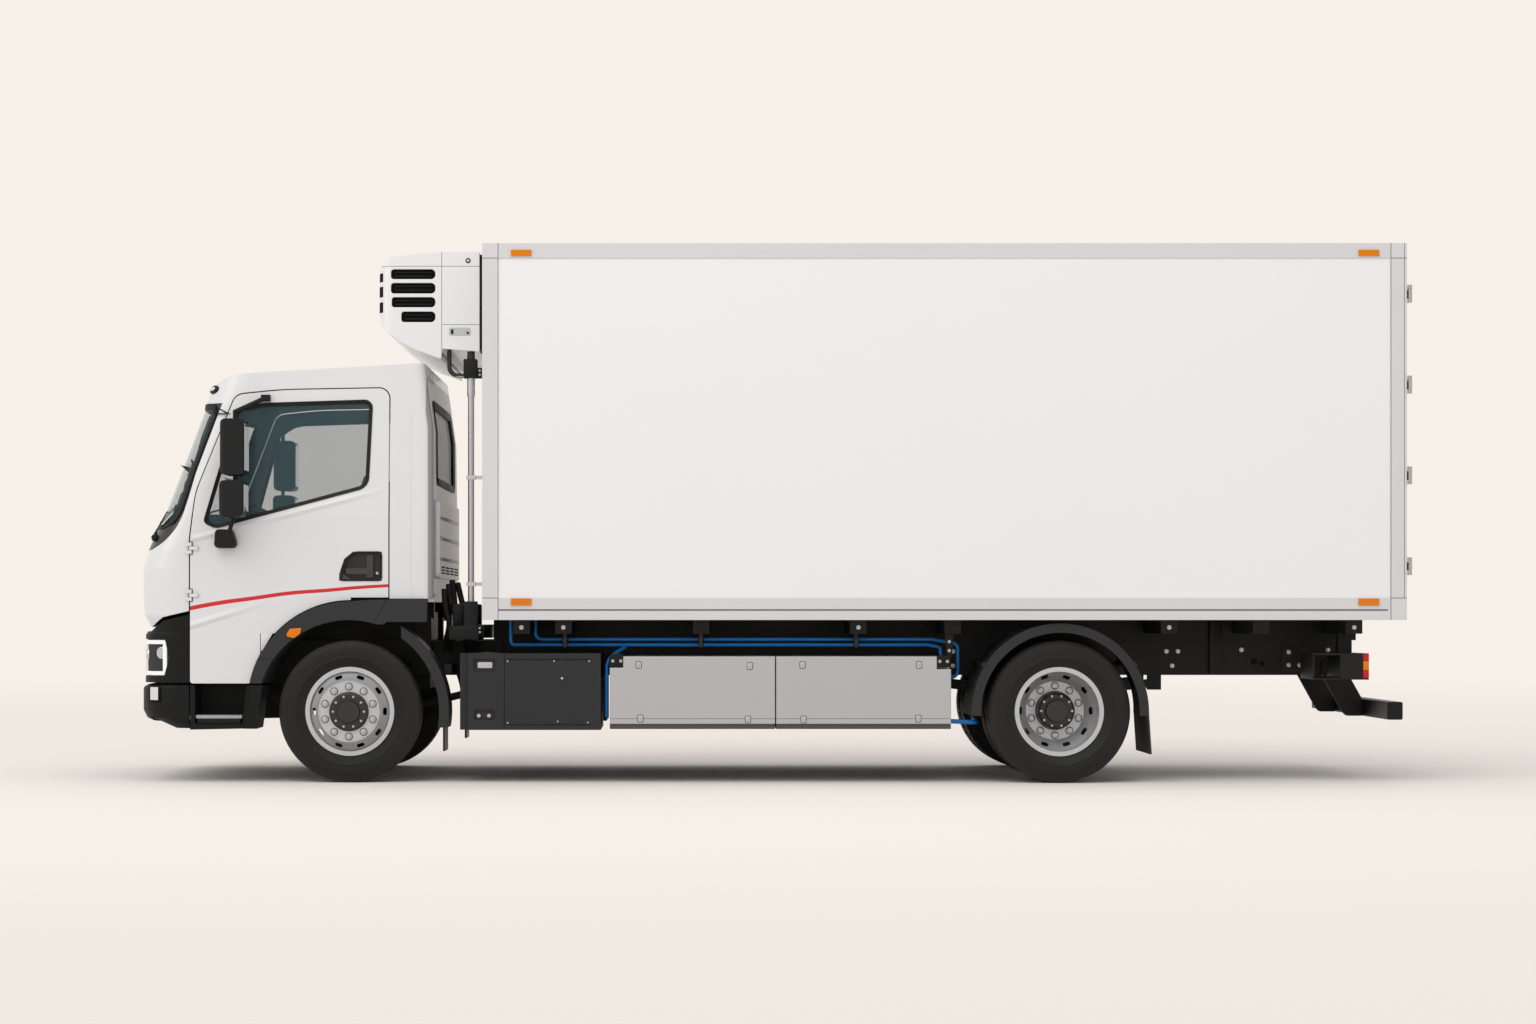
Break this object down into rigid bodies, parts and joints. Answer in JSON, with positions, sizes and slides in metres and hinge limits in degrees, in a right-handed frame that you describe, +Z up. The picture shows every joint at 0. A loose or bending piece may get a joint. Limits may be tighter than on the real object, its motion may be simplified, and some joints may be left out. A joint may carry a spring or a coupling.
{
  "type": "refrigerated truck",
  "caption": "Refrigerated box truck with a tilting cab, swinging side doors, rear barn doors, steered front wheels, a nose-mounted cooling unit and side battery boxes.",
  "frame": {"origin": "on the ground, in the middle of the overall length and width", "axes": "+X to the rear, +Y to the vehicle's right, +Z up"},
  "size_m": [8.5498, 2.85, 3.597],
  "materials": {
    "cab_paint": "gloss white",
    "body_panel": "satin white",
    "profile": "satin",
    "black_plastic": "textured",
    "frame_paint": "satin black",
    "battery_silver": "satin",
    "tyre": "rubber",
    "rim_paint": "silver",
    "glass": "tinted clear",
    "lamp": "clear",
    "amber": "clear amber",
    "coolant_blue": "blue",
    "trim_grey": "grained",
    "seat_cloth": "woven",
    "unit_white": "white",
    "pipe_metal": "drawn"
  },
  "bodies": {
    "chassis": {"chassis_frame": "frame_paint", "body_subframe": "frame_paint", "power_unit": "frame_paint", "front_axle_beam": "frame_paint", "rear_axle": "frame_paint", "leaf_springs": "frame_paint", "front_bumper": "black_plastic", "step_wells": "black_plastic", "mudguards": "black_plastic", "battery_boxes": "battery_silver", "equipment_boxes": "black_plastic", "rear_lamps": "black_plastic", "underrun_guard": "frame_paint", "coolant_lines": "coolant_blue", "box_floor": "body_panel", "box_wall_left": "body_panel", "box_wall_right": "body_panel", "box_wall_front": "body_panel", "box_roof": "body_panel", "box_edge_profiles": "profile", "rear_door_frame": "profile", "cooling_unit": "unit_white", "unit_mount": "black_plastic", "evaporator": "unit_white", "unit_pipes": "pipe_metal", "marker_lamps": "amber"},
    "cab": {"cab_shell": "cab_paint", "cab_floor": "frame_paint", "cab_glass": "glass", "front_panel": "black_plastic", "head_lamps": "lamp", "cab_arch_trims": "black_plastic", "dashboard": "trim_grey", "seats": "seat_cloth", "steering_wheel": "trim_grey"},
    "cab_door_left": {"door_left": "cab_paint", "door_glass_left": "glass", "mirror_left": "black_plastic"},
    "rear_leaf_left": {"rear_door_left": "body_panel"},
    "steered_knuckle_left": {"knuckle_left": "frame_paint"},
    "wheel_front_left": {"tyre_front_left": "tyre", "rim_front_left": "rim_paint"},
    "wheel_rear_left": {"tyre_rear_left": "tyre", "rim_rear_left": "rim_paint"},
    "cab_door_right": {"door_right": "cab_paint", "door_glass_right": "glass", "mirror_right": "black_plastic"},
    "rear_leaf_right": {"rear_door_right": "body_panel"},
    "steered_knuckle_right": {"knuckle_right": "frame_paint"},
    "wheel_front_right": {"tyre_front_right": "tyre", "rim_front_right": "rim_paint"},
    "wheel_rear_right": {"tyre_rear_right": "tyre", "rim_rear_right": "rim_paint"},
    "steering_tie_rod": {"tie_rod": "frame_paint"}
  },
  "joints": [
    {"name": "cab_tilt", "type": "hinge", "parent": "chassis", "child": "cab", "pos_m": [-4.1, 0, 0.42], "axis": [0, -1, 0], "range_deg": [0, 50]},
    {"name": "cab_door_left_swing", "type": "hinge", "parent": "cab", "child": "cab_door_left", "pos_m": [-3.866, -1.153, 1.4], "axis": [0, 0, -1], "range_deg": [0, 70]},
    {"name": "rear_door_left_swing", "type": "hinge", "parent": "chassis", "child": "rear_leaf_left", "pos_m": [4.263, -1.285, 2.35], "axis": [0, 0, -1], "range_deg": [0, 270]},
    {"name": "steer_left", "type": "hinge", "parent": "chassis", "child": "steered_knuckle_left", "pos_m": [-2.806, -0.87, 0.47698], "axis": [0, 0, 1], "range_deg": [-40, 40]},
    {"name": "cab_door_right_swing", "type": "hinge", "parent": "cab", "child": "cab_door_right", "pos_m": [-3.866, 1.153, 1.4], "axis": [0, 0, 1], "range_deg": [0, 70]},
    {"name": "rear_door_right_swing", "type": "hinge", "parent": "chassis", "child": "rear_leaf_right", "pos_m": [4.263, 1.285, 2.35], "axis": [0, 0, 1], "range_deg": [0, 270]},
    {"name": "steer_right", "type": "hinge", "parent": "chassis", "child": "steered_knuckle_right", "pos_m": [-2.806, 0.87, 0.47698], "axis": [0, 0, 1], "range_deg": [-40, 40]},
    {"name": "tie_rod_link", "type": "hinge", "parent": "steered_knuckle_left", "child": "steering_tie_rod", "pos_m": [-2.616, -0.87, 0.35], "axis": [0, 0, 1], "range_deg": [-40, 40]},
    {"name": "wheel_front_left_spin", "type": "hinge", "parent": "steered_knuckle_left", "child": "wheel_front_left", "pos_m": [-2.806, -1, 0.47698], "axis": [0, 1, 0], "continuous": true},
    {"name": "wheel_rear_left_spin", "type": "hinge", "parent": "chassis", "child": "wheel_rear_left", "pos_m": [1.944, -0.915, 0.47698], "axis": [0, 1, 0], "continuous": true},
    {"name": "wheel_front_right_spin", "type": "hinge", "parent": "steered_knuckle_right", "child": "wheel_front_right", "pos_m": [-2.806, 1, 0.47698], "axis": [0, 1, 0], "continuous": true},
    {"name": "wheel_rear_right_spin", "type": "hinge", "parent": "chassis", "child": "wheel_rear_right", "pos_m": [1.944, 0.915, 0.47698], "axis": [0, 1, 0], "continuous": true}
  ],
  "couplings": [
    {"joint": "steer_right", "follows": "steer_left", "ratio": 1},
    {"joint": "tie_rod_link", "follows": "steer_left", "ratio": -1}
  ]
}
